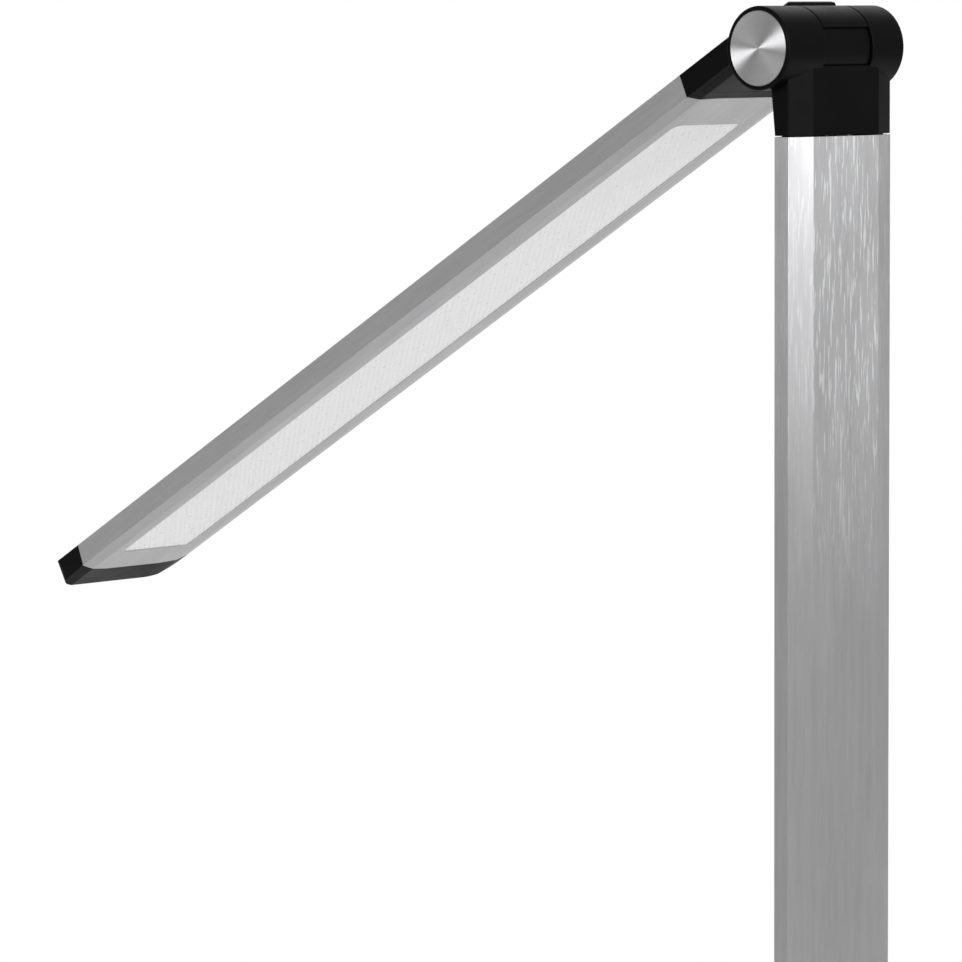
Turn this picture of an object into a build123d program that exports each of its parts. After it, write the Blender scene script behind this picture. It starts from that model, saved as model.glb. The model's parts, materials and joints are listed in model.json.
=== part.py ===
"""Folding LED desk lamp: flat aluminium post and arm, barrel hinges top and bottom, weighted base.

Frame: millimetres, +Z up, X along the hinge barrels, the arm reaches towards +Y.
Origin on the table, under the middle of the base.
"""

from build123d import *
from math import cos, radians, sin
import os

os.makedirs("parts", exist_ok=True)

# driving dimensions
# blade section shared by post and arm
bladeWidth = 50.0
bladeFlat = 31.8  # wide flat between the two bevels
bevelDepth = 2.9
postDepth = 11.7
postWall = 1.8
postRear = -12.1  # rear face of the post, from the hinge axis
cornerRound = 0.6

# hinge barrel
knuckleRadius = 13.7
knuckleLeft = 29.5  # from the middle of the drum to the left end
knuckleRight = 26.8  # the right ear is shorter
drumRadius = 12.8
drumWidth = 22.2
earGap = 0.3  # each side of the drum
saddleRadius = 13.45
ringClearance = 0.45  # bracket shoulders around the ears
pinRadius = 3.0
pinClearance = 0.05
discRadius = 12.25
discThick = 1.9

# arm, along its own direction from the hinge axis (t) and upwards from it (h)
armAngle = 29.6  # below the horizontal
armRoot = 38.2
armEnd = 401.8
armTip = 418.2
armUnder = 1.8
armCorner = 3.1
armShoulder = 11.45
armTop = 14.2
armWidthUnder = 52.4
armWidthTop = 50.6
armUnderFlat = 41.8
armTopFlat = 32.6
armSkin = 1.4
lightStart = 55.4
lightEnd = 389.8
lightWidth = 33.0
lightCorner = 3.5

# post and base
headHeight = 28.3  # from the hinge axis to the end of the post
postGap = 0.4
baseWidth = 200.0
baseDepth = 170.0
baseCorner = 22.0
baseTop = 17.0
footHeight = 2.0
baseWall = 2.4
lowerAxis = 32.0  # height of the lower hinge axis
foldClearance = 3.6
upperAxis = lowerAxis + armTip + knuckleRadius + foldClearance
axisY = -38.0  # both hinge axes, from the middle of the base
slackFit = 0.15  # play round parts that slide together
closeFit = 0.05  # play round screws, discs and stacked sheets

# values worked out from them
postFront = postRear + postDepth
earInner = drumWidth / 2 + earGap
knuckleLength = knuckleLeft + knuckleRight
postLow = lowerAxis + headHeight + postGap
postHigh = upperAxis - headHeight - postGap
headTop = -5.85  # where the rear face runs into the barrel
headFlare = 2.4  # how far the front leans out at the barrel
armDir = Vector(0, cos(radians(armAngle)), -sin(radians(armAngle)))
armUp = Vector(0, sin(radians(armAngle)), cos(radians(armAngle)))
upperHinge = Vector(0, axisY, upperAxis)
lowerHinge = Vector(0, axisY, lowerAxis)


def across(t):
    """Section plane across the arm at distance t, local y upwards."""
    return Plane(origin=upperHinge + armDir * t, x_dir=(-1, 0, 0), z_dir=armDir)


def plan(h):
    """Plane parallel to the arm's underside at height h, local x along X, local y along the arm."""
    return Plane(origin=upperHinge + armUp * h, x_dir=(1, 0, 0), z_dir=armUp)


def side(x):
    """Plane across the barrel at x, local x along the arm, local y upwards."""
    return Plane(origin=upperHinge + Vector(x, 0, 0), x_dir=armDir, z_dir=(1, 0, 0))


def barrel(centre, x):
    """Plane across a hinge barrel at x, local x along Y and local y along Z."""
    return Plane(origin=centre + Vector(x, 0, 0), x_dir=(0, 1, 0), z_dir=(1, 0, 0))


def level(z, y=axisY):
    """Horizontal plane at height z, centred on the post."""
    return Plane(origin=(0, y, z), x_dir=(1, 0, 0), z_dir=(0, 0, 1))


def reach(way):
    """Length of the barrel from the middle of the drum, to the left (-1) or to the right (1)."""
    return knuckleRight if way > 0 else knuckleLeft


def bladeFace(lowFlat, lowWidth, lowY, lowCorner, highCorner, highWidth, highFlat, highY, mode=Mode.ADD):
    """Eight sided section, symmetric in x, drawn from its low face to its high face."""
    right = [
        (lowFlat / 2, lowY),
        (lowWidth / 2, lowCorner),
        (highWidth / 2, highCorner),
        (highFlat / 2, highY),
    ]
    left = [(-x, y) for x, y in reversed(right)]
    Polygon(*right, *left, align=None, mode=mode)


def postFace(front=postFront):
    """Outline of the post, with its front face at the given distance from the hinge axis."""
    rearCorner = postRear + bevelDepth
    frontCorner = front - bevelDepth
    bladeFace(bladeFlat, bladeWidth, postRear, rearCorner, frontCorner, bladeWidth, bladeFlat, front)


def armFace():
    """Outline of the arm."""
    bladeFace(armUnderFlat, armWidthUnder, armUnder, armCorner, armShoulder, armWidthTop, armTopFlat, armTop)


def roundCorners(sketch, radius=cornerRound):
    """Round every corner of a sketch."""
    fillet(sketch.vertices(), radius)


def keep(part, name, colour):
    """Label one finished piece and write it."""
    part.label = name
    part.color = Color(*colour)
    export_step(part, f"parts/{name}.step")


black = (0.05, 0.05, 0.055)
silver = (0.72, 0.72, 0.74)
steel = (0.55, 0.56, 0.58)
white = (0.93, 0.93, 0.92)
green = (0.1, 0.35, 0.2)
copper = (0.75, 0.45, 0.25)

# post
portX = 7.0
portRadius = 3.2
portHole = 1.55
portWeb = 2.0
postCentre = (postFront + postRear) / 2

with BuildPart() as post_extrusion:
    with BuildSketch(level(postLow)) as postSection:
        postFace()
        roundCorners(postSection.sketch)
        offset(amount=-postWall, kind=Kind.INTERSECTION, mode=Mode.SUBTRACT)
        with Locations((-portX, postCentre), (portX, postCentre)):
            Circle(portRadius)
            Rectangle(portWeb, postDepth - postWall)
        with Locations((-portX, postCentre), (portX, postCentre)):
            Circle(portHole, mode=Mode.SUBTRACT)
    extrude(amount=postHigh - postLow)

keep(post_extrusion.part, "post_extrusion", silver)

# hinge head and foot, the same moulding twice
tongueLength = 6.0
screwHeadRadius = 2.9
screwSeat = -18.5  # seat of the screw heads below the hinge axis
wireRadius = 2.6
nutPocket = 8.2
nutPocketDepth = 6.0
discSeat = discThick + closeFit
washerRadius = 5.5
washerThick = 1.2
washerSeat = 1.0
rimRound = 0.65
innerRound = 0.35

with BuildPart() as hinge_head:
    with BuildSketch(level(upperAxis - headHeight)):
        postFace()
    with BuildSketch(level(upperAxis + headTop)):
        postFace(postFront + headFlare)
    loft(ruled=True)
    uprights = hinge_head.edges().filter_by(lambda e: abs((e @ 0).Z - (e @ 1).Z) > headHeight / 2)
    fillet(uprights, cornerRound)
    # ears
    for way in (-1, 1):
        with BuildPart(mode=Mode.PRIVATE) as ear:
            with BuildSketch(barrel(upperHinge, way * earInner)):
                Circle(knuckleRadius)
            extrude(amount=way * (reach(way) - earInner))
            outer = ear.faces().sort_by(Axis.X)[-1 if way > 0 else 0].edges()
            fillet(outer, rimRound)
            inner = ear.faces().sort_by(Axis.X)[0 if way > 0 else -1].edges()
            fillet(inner, innerRound)
        add(ear.part)
    # saddle under the drum, pin bore, nut pockets and disc seats
    with BuildSketch(barrel(upperHinge, -earInner)):
        Circle(saddleRadius)
    extrude(amount=2 * earInner, mode=Mode.SUBTRACT)
    with BuildSketch(barrel(upperHinge, -knuckleLeft)):
        Circle(pinRadius)
    extrude(amount=knuckleLength, mode=Mode.SUBTRACT)
    for way in (-1, 1):
        with BuildSketch(barrel(upperHinge, way * (reach(way) - discSeat))):
            Circle(discRadius + closeFit)
        extrude(amount=way * discSeat, mode=Mode.SUBTRACT)
        with BuildSketch(barrel(upperHinge, way * (reach(way) - discSeat - nutPocketDepth))):
            Circle(nutPocket)
        extrude(amount=way * nutPocketDepth, mode=Mode.SUBTRACT)
        with BuildSketch(barrel(upperHinge, way * earInner)):
            Circle(washerRadius + slackFit)
        extrude(amount=way * washerSeat, mode=Mode.SUBTRACT)
    # lip inside the post, cut away round the screw ports
    with BuildSketch(level(upperAxis - headHeight)):
        postFace()
        offset(amount=-(postWall + slackFit), kind=Kind.INTERSECTION, mode=Mode.REPLACE)
        with Locations((-portX, postCentre), (portX, postCentre)):
            Circle(portRadius + slackFit, mode=Mode.SUBTRACT)
            Rectangle(portWeb + 2 * slackFit, postDepth, mode=Mode.SUBTRACT)
        Rectangle(2 * portX, postDepth * 2, mode=Mode.SUBTRACT)
    extrude(amount=-tongueLength)
    # screw and wire holes
    with BuildSketch(level(upperAxis - headHeight)):
        with Locations((-portX, postCentre), (portX, postCentre)):
            Circle(portHole + slackFit)
    extrude(amount=headHeight, mode=Mode.SUBTRACT)
    with BuildSketch(level(upperAxis + screwSeat)):
        with Locations((-portX, postCentre), (portX, postCentre)):
            Circle(screwHeadRadius + slackFit)
    extrude(amount=headHeight / 2, mode=Mode.SUBTRACT)
    with BuildSketch(level(upperAxis - headHeight)):
        with Locations((0, postCentre)):
            Circle(wireRadius)
    extrude(amount=headHeight, mode=Mode.SUBTRACT)

keep(hinge_head.part, "hinge_head", black)

with BuildPart() as post_foot:
    add(mirror(hinge_head.part, about=Plane.XY.offset((upperAxis + lowerAxis) / 2), mode=Mode.PRIVATE))

keep(post_foot.part, "post_foot", black)

screwHeadThick = 2.0
postScrewLength = 26.0

with BuildPart() as post_top_screws:
    with BuildSketch(level(upperAxis + screwSeat)):
        with Locations((-portX, postCentre), (portX, postCentre)):
            Circle(screwHeadRadius)
    extrude(amount=screwHeadThick)
    with BuildSketch(level(upperAxis + screwSeat)):
        with Locations((-portX, postCentre), (portX, postCentre)):
            Circle(portHole - closeFit)
    extrude(amount=-postScrewLength)

keep(post_top_screws.part, "post_top_screws", steel)

with BuildPart() as post_bottom_screws:
    add(mirror(post_top_screws.part, about=Plane.XY.offset((upperAxis + lowerAxis) / 2), mode=Mode.PRIVATE))

keep(post_bottom_screws.part, "post_bottom_screws", steel)

wireThick = 0.75
wireApart = 0.95  # each wire from the middle
wireReach = 12.0  # past each end of the post

with BuildPart() as post_wires:
    with BuildSketch(level(postLow - wireReach)):
        with Locations((-wireApart, postCentre), (wireApart, postCentre)):
            Circle(wireThick)
    extrude(amount=postHigh - postLow + 2 * wireReach)

keep(post_wires.part, "post_wires", copper)

# hinge hardware, once for each barrel
boltHeadRadius = 6.0
boltHeadThick = 4.0
nutAcross = 10.0
nutThick = 5.0
hexKey = 2.9
hexDepth = 2.2
pressFit = 0.02
washerGap = 0.08
washerBore = pinRadius + 0.1
discEdge = 0.25
boltFloor = knuckleLeft - discSeat - nutPocketDepth  # where the bolt head sits
nutFloor = knuckleRight - discSeat - nutPocketDepth  # where the lock nut sits

for place, centre in (("upper", upperHinge), ("lower", lowerHinge)):
    with BuildPart() as hinge_bolt:
        with BuildSketch(barrel(centre, -boltFloor)):
            Circle(pinRadius - pressFit)
        extrude(amount=boltFloor + nutFloor + nutThick)
        with BuildSketch(barrel(centre, -boltFloor)):
            Circle(boltHeadRadius)
        extrude(amount=-boltHeadThick)
        with BuildSketch(barrel(centre, -boltFloor - boltHeadThick)):
            RegularPolygon(hexKey, 6)
        extrude(amount=hexDepth, mode=Mode.SUBTRACT)
    keep(hinge_bolt.part, f"{place}_hinge_bolt", steel)

    with BuildPart() as lock_nut:
        with BuildSketch(barrel(centre, nutFloor)):
            RegularPolygon(nutAcross / 2, 6, major_radius=False)
            Circle(pinRadius, mode=Mode.SUBTRACT)
        extrude(amount=nutThick)
    keep(lock_nut.part, f"{place}_lock_nut", steel)

    with BuildPart() as friction_washers:
        for way in (-1, 1):
            with BuildSketch(barrel(centre, way * (drumWidth / 2 + washerGap))):
                Circle(washerRadius)
                Circle(washerBore, mode=Mode.SUBTRACT)
            extrude(amount=way * washerThick)
    keep(friction_washers.part, f"{place}_friction_washers", steel)

    for way, hand in ((-1, "left"), (1, "right")):
        with BuildPart() as end_disc:
            with BuildSketch(barrel(centre, way * (reach(way) - discThick))):
                Circle(discRadius)
            extrude(amount=way * discThick)
            face = end_disc.faces().sort_by(Axis.X)[-1 if way > 0 else 0]
            chamfer(face.edges(), discEdge)
        keep(end_disc.part, f"{place}_{hand}_disc", silver)

# arm extrusion
cavityFloor = armUnder + armSkin
cavityTop = armTop - 1.5
cavityUnderFlat = 43.0
cavityWidthUnder = 48.4
cavityCorner = 4.2
cavityShoulder = 10.6
cavityWidthTop = 47.4
cavityTopFlat = 31.4
armPortX = 21.2
armPortH = 7.6
armPortRadius = 2.6
armPortHole = 1.3
armPortWeb = 2.4
rootLip = 1.2
tipLip = 2.8
lipFlat = 12.5  # straight middle of each lip, half its width
lipKnee = 19.8
lipKneeShare = 0.62
lipFit = 0.1


def cavityFace(shrink=0.0, mode=Mode.ADD):
    """Inside outline of the arm extrusion, smaller all round by the given amount."""
    bladeFace(
        cavityUnderFlat - shrink, cavityWidthUnder - 2 * shrink, cavityFloor + shrink,
        cavityCorner + shrink, cavityShoulder - shrink, cavityWidthTop - 2 * shrink,
        cavityTopFlat - shrink, cavityTop - shrink, mode,
    )


def lipPlan(start, length, grow=0.0):
    """Curved end of the underside skin, reaching past the square end of the extrusion."""
    edge = start + length + (grow if length > 0 else -grow)
    half = armWidthUnder / 2 + 1
    bend = lipFlat + grow / 2
    knee = start + lipKneeShare * (edge - start)
    with BuildSketch(plan(0)) as lip:
        with BuildLine():
            Line((bend, edge), (-bend, edge))
            ThreePointArc((-bend, edge), (-lipKnee, knee), (-half, start))
            Line((-half, start), (-half, start - length))
            Line((-half, start - length), (half, start - length))
            Line((half, start - length), (half, start))
            ThreePointArc((half, start), (lipKnee, knee), (bend, edge))
        make_face()
    return lip.sketch


def lipBody(start, length, grow=0.0):
    """The lip as a solid, cut from the arm's own outline."""
    with BuildPart() as lip:
        with BuildSketch(across(start - length)):
            armFace()
        extrude(amount=2 * length + (grow if length > 0 else -grow))
        extrude(lipPlan(start, length, grow), amount=cavityFloor + grow, mode=Mode.INTERSECT)
    return lip.part


with BuildPart() as arm_extrusion:
    with BuildSketch(across(armRoot)) as armSection:
        armFace()
        roundCorners(armSection.sketch)
        cavityFace(mode=Mode.SUBTRACT)
        with Locations((-armPortX, armPortH), (armPortX, armPortH)):
            Circle(armPortRadius)
        with Locations((-armPortX - armPortRadius / 2, armPortH), (armPortX + armPortRadius / 2, armPortH)):
            Rectangle(armPortRadius + 0.4, armPortWeb)
        with Locations((-armPortX, armPortH), (armPortX, armPortH)):
            Circle(armPortHole, mode=Mode.SUBTRACT)
    extrude(amount=armEnd - armRoot)
    add(lipBody(armEnd, tipLip))
    add(lipBody(armRoot, -rootLip))
    with BuildSketch(plan(0)):
        with Locations((0, (lightStart + lightEnd) / 2)):
            RectangleRounded(lightWidth, lightEnd - lightStart, lightCorner)
    extrude(amount=cavityFloor + lipFit, mode=Mode.SUBTRACT)

keep(arm_extrusion.part, "arm_extrusion", silver)

# light panel inside the arm
panelWidth = 36.8
panelMargin = 4.0  # past each end of the light window
panelStart = lightStart - panelMargin
panelLength = lightEnd - lightStart + 2 * panelMargin
panelMiddle = panelStart + panelLength / 2
lensThick = 1.5
diffuserThick = 0.8
trayWall = 1.2
trayFloor = 0.8
layerGap = closeFit
lensLow = cavityFloor + layerGap
diffuserLow = lensLow + lensThick + layerGap
trayLow = diffuserLow + diffuserThick + layerGap
trayHigh = 9.8
boardThick = 1.0
boardWidth = 33.0
chipSize = 3.0
chipThick = 0.6
chipRows = 2
chipColumns = 24
chipPitch = 13.4
rowPitch = 15.0
spreaderWidth = 28.0
spreaderInset = 10.0


def panelSheet(low, thick, width=panelWidth, length=panelLength):
    """A flat sheet in the stack, centred on the light window."""
    with BuildPart() as sheet:
        with BuildSketch(plan(low)):
            with Locations((0, panelMiddle)):
                Rectangle(width, length)
        extrude(amount=thick)
    return sheet


lensRecess = 0.6  # face of the lens, behind the underside of the arm
lensFit = 0.1
with BuildPart() as prismatic_lens:
    add(panelSheet(lensLow, lensThick).part)
    with BuildSketch(plan(armUnder + lensRecess)):
        with Locations((0, panelMiddle)):
            lensLength = lightEnd - lightStart - 2 * lensFit
            RectangleRounded(lightWidth - 2 * lensFit, lensLength, lightCorner - lensFit)
    extrude(amount=lensLow - armUnder - lensRecess)
keep(prismatic_lens.part, "prismatic_lens", white)

diffuser_sheet = panelSheet(diffuserLow, diffuserThick)
keep(diffuser_sheet.part, "diffuser_sheet", white)

with BuildPart() as reflector_tray:
    with BuildSketch(plan(trayLow)):
        with Locations((0, panelMiddle)):
            Rectangle(panelWidth, panelLength)
    extrude(amount=trayHigh - trayLow)
    with BuildSketch(plan(trayLow)):
        with Locations((0, panelMiddle)):
            Rectangle(panelWidth - 2 * trayWall, panelLength - 2 * trayWall)
    extrude(amount=trayHigh - trayFloor - trayLow, mode=Mode.SUBTRACT)
keep(reflector_tray.part, "reflector_tray", white)

boardHigh = trayHigh - trayFloor - layerGap
led_board = panelSheet(boardHigh - boardThick, boardThick, boardWidth, panelLength - 2 * trayWall - chipThick)
keep(led_board.part, "led_board", white)

with BuildPart() as led_chips:
    with BuildSketch(plan(boardHigh - boardThick)):
        with Locations((0, panelMiddle)):
            with GridLocations(rowPitch, chipPitch, chipRows, chipColumns):
                Rectangle(chipSize, chipSize)
    extrude(amount=-chipThick)
keep(led_chips.part, "led_chips", (0.95, 0.85, 0.45))

spreaderThick = cavityTop - trayHigh - 3 * layerGap
heat_spreader = panelSheet(trayHigh + layerGap, spreaderThick, spreaderWidth, panelLength - spreaderInset)
keep(heat_spreader.part, "heat_spreader", silver)

# tip cap
plugLength = 7.0
tipTaper = 1.0
tipRoundLeft = 4.0
tipRoundRight = 11.5


def armPlug(start, length):
    """Solid that fills the arm's cavity from start, leaving room for the screw ports."""
    with BuildPart() as plug:
        with BuildSketch(across(start)):
            cavityFace(slackFit)
            with Locations((-armPortX - 1.0, armPortH), (armPortX + 1.0, armPortH)):
                Rectangle(3 * armPortRadius, 2 * armPortRadius + 2 * slackFit, mode=Mode.SUBTRACT)
        extrude(amount=length)
    return plug.part


with BuildPart() as tip_cap:
    with BuildSketch(across(armEnd)):
        armFace()
    extrude(amount=armTip - armEnd)
    halfWide = armWidthUnder / 2 + slackFit
    with BuildSketch(plan(0)) as tipPlan:
        with BuildLine():
            Polyline(
                (-halfWide, armEnd - 1), (halfWide, armEnd - 1), (halfWide, armEnd),
                (halfWide - tipTaper, armTip), (-halfWide + tipTaper, armTip), (-halfWide, armEnd),
                close=True,
            )
        make_face()
        fillet(tipPlan.vertices().group_by(Axis.Y)[-1].sort_by(Axis.X)[-1], tipRoundRight)
        fillet(tipPlan.vertices().group_by(Axis.Y)[-1].sort_by(Axis.X)[0], tipRoundLeft)
    extrude(amount=armTop + 1, mode=Mode.INTERSECT)
    add(armPlug(armEnd, -plugLength))
    add(lipBody(armEnd, tipLip, lipFit), mode=Mode.SUBTRACT)
keep(tip_cap.part, "tip_cap", black)

# arm bracket with the knuckle
shoulderStart = 8.5
neckBack = -4.7
neckTop = 15.1  # a little above the arm
neckFront = 16.0
neckChamfer = 0.8
pocketStart = 15.6
pocketEnd = 32.8
pocketHalf = 24.3
pocketTop = 11.2
coverThick = 1.5
bossX = 9.0
bossT = 24.0
bossRadius = 2.6
coverHeadRadius = 2.0
coverHeadSeat = 0.9
coverPilot = 1.0
coverPilotEnd = 9.0
wireHole = 2.0
wireExit = 6.5  # the hole that leads the wires down into the head
wireExitRadius = 1.8
plugReach = plugLength + 3.0

with BuildPart() as arm_bracket:
    with BuildSketch(across(shoulderStart)) as shoulderSection:
        armFace()
        roundCorners(shoulderSection.sketch)
    extrude(amount=armRoot - shoulderStart)
    with BuildSketch(side(-armWidthUnder)):
        Circle(knuckleRadius + ringClearance)
    extrude(amount=2 * armWidthUnder, mode=Mode.SUBTRACT)
    # neck between the ears, its top a step above the arm
    with BuildPart(mode=Mode.PRIVATE) as neck:
        with BuildSketch(side(-drumWidth / 2)):
            with Locations(((neckBack + neckFront) / 2, (armUnder + neckTop) / 2)):
                Rectangle(neckFront - neckBack, neckTop - armUnder)
        extrude(amount=drumWidth)
        chamfer(neck.faces().sort_by(lambda f: f.center().dot(armUp))[-1].edges(), neckChamfer)
    add(neck.part)
    # drum, with the larger shell over its upper half, cut back so it clears the head when folded
    for radius in (drumRadius, knuckleRadius):
        with BuildPart(mode=Mode.PRIVATE) as roll:
            with BuildSketch(side(-drumWidth / 2)):
                Circle(radius)
            extrude(amount=drumWidth)
            fillet(roll.edges().filter_by(GeomType.CIRCLE), innerRound)
            if radius == knuckleRadius:
                with BuildSketch(side(-drumWidth / 2)):
                    with Locations((0, -knuckleRadius)):
                        Rectangle(2.2 * knuckleRadius, 2 * knuckleRadius)
                    with Locations((knuckleRadius, 0)):
                        Rectangle(knuckleRadius, 2 * armUnder)
                extrude(amount=drumWidth, mode=Mode.SUBTRACT)
        add(roll.part)
    with BuildSketch(side(-drumWidth / 2)):
        Circle(pinRadius + pinClearance)
    extrude(amount=drumWidth, mode=Mode.SUBTRACT)
    # wiring pocket under the cover, cover bosses
    with BuildPart(mode=Mode.PRIVATE) as pocket:
        with BuildSketch(plan(0)):
            with Locations((0, pocketEnd / 2)):
                Rectangle(2 * pocketHalf, pocketEnd)
        extrude(amount=pocketTop)
        with BuildSketch(side(-armWidthUnder)):
            Circle(pocketStart)
        extrude(amount=2 * armWidthUnder, mode=Mode.SUBTRACT)
        with BuildSketch(plan(armUnder + coverThick)):
            with Locations((-bossX, bossT), (bossX, bossT)):
                Circle(bossRadius)
        extrude(amount=pocketTop, mode=Mode.SUBTRACT)
    add(pocket.part, mode=Mode.SUBTRACT)
    with BuildSketch(plan(0)):
        with Locations((-bossX, bossT), (bossX, bossT)):
            Circle(coverPilot)
    extrude(amount=coverPilotEnd, mode=Mode.SUBTRACT)
    # plug into the arm, recess for the arm's underside lip
    add(armPlug(armRoot, plugReach))
    add(lipBody(armRoot, -rootLip, lipFit), mode=Mode.SUBTRACT)
    # wire passage from the saddle into the arm, screw holes into the arm's ports
    with BuildSketch(across(0)):
        with Locations((0, armPortH)):
            Circle(wireHole)
    extrude(amount=armRoot + plugReach + 1, mode=Mode.SUBTRACT)
    with BuildSketch(plan(armPortH)):
        with Locations((0, wireExit)):
            Circle(wireExitRadius)
    extrude(amount=-2 * knuckleRadius, mode=Mode.SUBTRACT)
    with BuildSketch(across(pocketEnd - 1)):
        with Locations((-armPortX, armPortH), (armPortX, armPortH)):
            Circle(armPortHole + slackFit)
    extrude(amount=armRoot - pocketEnd + 1, mode=Mode.SUBTRACT)
keep(arm_bracket.part, "arm_bracket", black)

coverHole = 1.2
coverScrewLength = 6.5
bracketHeadRadius = 2.4
bracketHeadThick = 1.8
bracketScrewLength = 18.0

with BuildPart() as bracket_cover:
    with BuildSketch(across(shoulderStart)):
        armFace()
    extrude(amount=armRoot - shoulderStart)
    with BuildSketch(plan(0)):
        with Locations((0, pocketEnd / 2)):
            Rectangle(2 * (pocketHalf - slackFit), pocketEnd - 2 * slackFit)
    extrude(amount=armUnder + coverThick - layerGap, mode=Mode.INTERSECT)
    with BuildSketch(side(-armWidthUnder)):
        Circle(pocketStart + slackFit)
    extrude(amount=2 * armWidthUnder, mode=Mode.SUBTRACT)
    for radius, depth in ((coverHole, coverThick), (coverHeadRadius + slackFit, coverHeadSeat)):
        with BuildSketch(plan(0)):
            with Locations((-bossX, bossT), (bossX, bossT)):
                Circle(radius)
        extrude(amount=armUnder + depth, mode=Mode.SUBTRACT)
keep(bracket_cover.part, "bracket_cover", black)

with BuildPart() as cover_screws:
    with BuildSketch(plan(armUnder + slackFit)):
        with Locations((-bossX, bossT), (bossX, bossT)):
            Circle(coverHeadRadius)
    extrude(amount=coverHeadSeat - slackFit - closeFit)
    with BuildSketch(plan(armUnder + coverHeadSeat / 2)):
        with Locations((-bossX, bossT), (bossX, bossT)):
            Circle(coverPilot - closeFit)
    extrude(amount=coverScrewLength)
keep(cover_screws.part, "cover_screws", steel)

with BuildPart() as bracket_screws:
    with BuildSketch(across(pocketEnd)):
        with Locations((-armPortX, armPortH), (armPortX, armPortH)):
            Circle(bracketHeadRadius)
    extrude(amount=-bracketHeadThick)
    with BuildSketch(across(pocketEnd)):
        with Locations((-armPortX, armPortH), (armPortX, armPortH)):
            Circle(armPortHole - closeFit)
    extrude(amount=bracketScrewLength)
keep(bracket_screws.part, "bracket_screws", steel)

wireEndGap = 1.5

with BuildPart() as arm_wires:
    with BuildSketch(across(pocketStart + wireEndGap)):
        with Locations((-wireApart, armPortH), (wireApart, armPortH)):
            Circle(wireThick)
    extrude(amount=panelStart - pocketStart - wireEndGap - slackFit)
keep(arm_wires.part, "arm_wires", copper)

# base
coverTopThick = 2.5
topRound = 2.5
plateTop = 4.0
weightLow = 4.1
weightHigh = 9.1
weightWidth = 150.0
weightDepth = 118.0
weightY = -9.0
weightCorner = 8.0
inletNotchWidth = 12.0
inletNotchDepth = 40.0
bossXY = (84.0, 69.0)
caseBossRadius = 4.2
neckHalfY = 10.5
flangeTop = 13.5
neckHeight = lowerAxis - flangeTop + 1
flangeCorner = 4.0
flangeHeadRadius = 3.4
flangeHeadThick = 0.9
flangeWidth = 60.0
flangeDepth = 40.0
flangeBoltX = 22.0
flangeBoltY = 13.0
flangeBoltRadius = 2.0
buttonX = 58.0
buttonY = 52.0
buttonRadius = 7.0
buttonTop = 17.6
buttonLow = 13.2
boardLow = 9.2
boardTop = 10.8
boardLong = 44.0
boardWide = 30.0
boardShiftX = -4.0
boardShiftY = -6.0
switchSide = 6.0
switchThick = 1.2
plungerRadius = 1.4
plungerTop = 1.5
buttonEdge = 0.4
buttonRim = 1.2
buttonRimThick = 0.9
jackX = 62.0
jackZ = 9.3
jackCollar = 4.0
jackBore = 2.8
jackPin = 1.0
jackDepth = 10.0
jackBodyWidth = 10.0
jackBodyHeight = 9.6
jackBodyLength = 11.5
caseScrewRadius = 1.3
caseScrewHead = 2.7
caseScrewLength = 8.0
screwSeatDepth = 1.0
plateInset = 2 * baseWall + 2 * slackFit
padInset = 8.0  # rubber pad from the edge of the base
padEdge = 0.5

with BuildPart() as base_cover:
    with BuildSketch(level(footHeight, 0)):
        RectangleRounded(baseWidth, baseDepth, baseCorner)
    extrude(amount=baseTop - footHeight)
    fillet(base_cover.faces().sort_by(Axis.Z)[-1].edges(), topRound)
    with BuildSketch(level(footHeight, 0)):
        RectangleRounded(baseWidth - 2 * baseWall, baseDepth - 2 * baseWall, baseCorner - baseWall)
    extrude(amount=baseTop - coverTopThick - footHeight, mode=Mode.SUBTRACT)
    with BuildSketch(level(plateTop + layerGap, 0)):
        with GridLocations(2 * bossXY[0], 2 * bossXY[1], 2, 2):
            Circle(caseBossRadius)
    extrude(amount=baseTop - coverTopThick - plateTop)
    with BuildSketch(level(plateTop, 0)):
        with GridLocations(2 * bossXY[0], 2 * bossXY[1], 2, 2):
            Circle(caseScrewRadius + closeFit)
    extrude(amount=caseScrewLength + 1, mode=Mode.SUBTRACT)
    with BuildSketch(level(plateTop)):
        RectangleRounded(drumWidth + 4 * slackFit, 2 * neckHalfY + 4 * slackFit, 1.0)
    extrude(amount=baseTop, mode=Mode.SUBTRACT)
    with BuildSketch(level(plateTop, 0)):
        with Locations((buttonX, buttonY)):
            Circle(buttonRadius + slackFit)
    extrude(amount=baseTop, mode=Mode.SUBTRACT)
    with BuildSketch(Plane(origin=(jackX, -baseDepth / 2, jackZ), x_dir=(1, 0, 0), z_dir=(0, -1, 0))):
        Circle(jackCollar + slackFit)
    extrude(amount=-2 * baseWall, mode=Mode.SUBTRACT)
keep(base_cover.part, "base_cover", black)

with BuildPart() as base_plate:
    with BuildSketch(level(footHeight, 0)):
        RectangleRounded(baseWidth - plateInset, baseDepth - plateInset, baseCorner - baseWall - slackFit)
        with GridLocations(2 * bossXY[0], 2 * bossXY[1], 2, 2):
            Circle(caseScrewRadius + 2 * slackFit, mode=Mode.SUBTRACT)
    extrude(amount=plateTop - footHeight)
    with BuildSketch(level(footHeight, 0)):
        with GridLocations(2 * bossXY[0], 2 * bossXY[1], 2, 2):
            Circle(caseScrewHead + 2 * slackFit)
    extrude(amount=screwSeatDepth, mode=Mode.SUBTRACT)
keep(base_plate.part, "base_plate", steel)

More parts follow.
